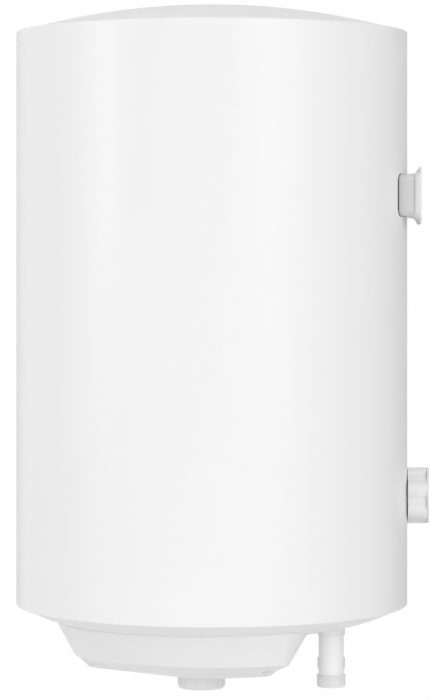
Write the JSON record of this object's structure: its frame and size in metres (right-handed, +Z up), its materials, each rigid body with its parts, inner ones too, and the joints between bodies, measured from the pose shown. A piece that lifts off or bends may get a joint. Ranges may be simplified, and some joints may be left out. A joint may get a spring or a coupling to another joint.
{
  "type": "tank water heater",
  "caption": "Upright wall-hung electric storage water heater: insulated tank in a white casing with domed ends, hook-slot hanger, wall spacer, service cover, temperature knob and pipes",
  "frame": {"origin": "centre of the hanger's outer face, midway between its two hook slots", "axes": "+Z up along the tank's axis; +Y points at the wall; the front faces -Y; +X is to the right seen from the front"},
  "size_m": [0.34, 0.36, 0.593],
  "materials": {
    "casing_enamel": "gloss",
    "cap_plastic": "satin",
    "cover_plastic": "satin",
    "foam": "matte",
    "tank_enamel": "gloss",
    "bare_steel": "satin",
    "zinc_steel": "satin",
    "gasket_rubber": "matte",
    "element_copper": "satin",
    "terminal_ceramic": "satin",
    "lead_insulation": "satin",
    "anode_magnesium": "matte",
    "earth_brass": "satin",
    "thermostat_plastic": "matte",
    "button_red": "gloss",
    "knob_plastic": "satin",
    "pipe_enamel": "gloss",
    "diffuser_plastic": "matte",
    "seal_grey": "matte",
    "protector_plastic": "satin",
    "hanger_enamel": "satin",
    "spacer_plastic": "satin",
    "lamp_lens": "gloss"
  },
  "bodies": {
    "heater": {"outer_casing": "casing_enamel", "top_cap": "cap_plastic", "bottom_cap": "cap_plastic", "foam_insulation": "foam", "tank_shell": "tank_enamel", "tank_top_head": "tank_enamel", "tank_bottom_head": "tank_enamel", "flange_neck": "bare_steel", "flange_studs": "zinc_steel", "flange_gasket": "gasket_rubber", "flange_plate": "zinc_steel", "flange_nuts": "zinc_steel", "heating_element": "element_copper", "element_terminals": "terminal_ceramic", "element_leads": "lead_insulation", "thermostat_pocket": "element_copper", "anode_rod": "anode_magnesium", "anode_nut": "zinc_steel", "earth_screw": "earth_brass", "thermostat_body": "thermostat_plastic", "thermostat_probe": "bare_steel", "cold_pipe": "pipe_enamel", "hot_pipe": "pipe_enamel", "cold_diffuser": "diffuser_plastic", "pipe_grommets": "seal_grey", "hanger_bracket": "hanger_enamel", "hanger_saddle": "bare_steel", "spacer_socket": "spacer_plastic", "service_cover": "cover_plastic", "cover_screws": "zinc_steel", "cable_grommet": "gasket_rubber", "indicator_lamp": "lamp_lens"},
    "temperature_dial": {"temperature_knob": "knob_plastic", "thermostat_spindle": "zinc_steel"},
    "reset": {"reset_button": "button_red"},
    "cold_cap": {"cold_protector": "protector_plastic"},
    "hot_cap": {"hot_protector": "protector_plastic"},
    "wall_pad": {"spacer_pad": "spacer_plastic"},
    "spacer_screw": {"spacer_knob": "spacer_plastic", "spacer_stem": "spacer_plastic"}
  },
  "joints": [
    {"name": "temperature_turn", "type": "hinge", "parent": "heater", "child": "temperature_dial", "pos_m": [0, -0.19, -0.42], "axis": [0, 0, 1], "range_deg": [0, 285]},
    {"name": "reset_push", "type": "slide", "parent": "heater", "child": "reset", "axis": [0, 0, 1], "range_m": [0, 0.002], "stiffness_N_per_m": 400, "springref_m": -0.001},
    {"name": "cold_cap_pull", "type": "slide", "parent": "heater", "child": "cold_cap", "axis": [0, 0, -1], "range_m": [0, 0.06]},
    {"name": "hot_cap_pull", "type": "slide", "parent": "heater", "child": "hot_cap", "axis": [0, 0, -1], "range_m": [0, 0.06]},
    {"name": "spacer_extend", "type": "slide", "parent": "heater", "child": "wall_pad", "axis": [0, 1, 0], "range_m": [0, 0.012]},
    {"name": "spacer_turn", "type": "hinge", "parent": "wall_pad", "child": "spacer_screw", "pos_m": [0, 0, -0.26], "axis": [0, 1, 0], "range_deg": [0, 1080]}
  ],
  "couplings": [
    {"joint": "spacer_extend", "follows": "spacer_turn", "m_per_rad": 0.0006366}
  ]
}
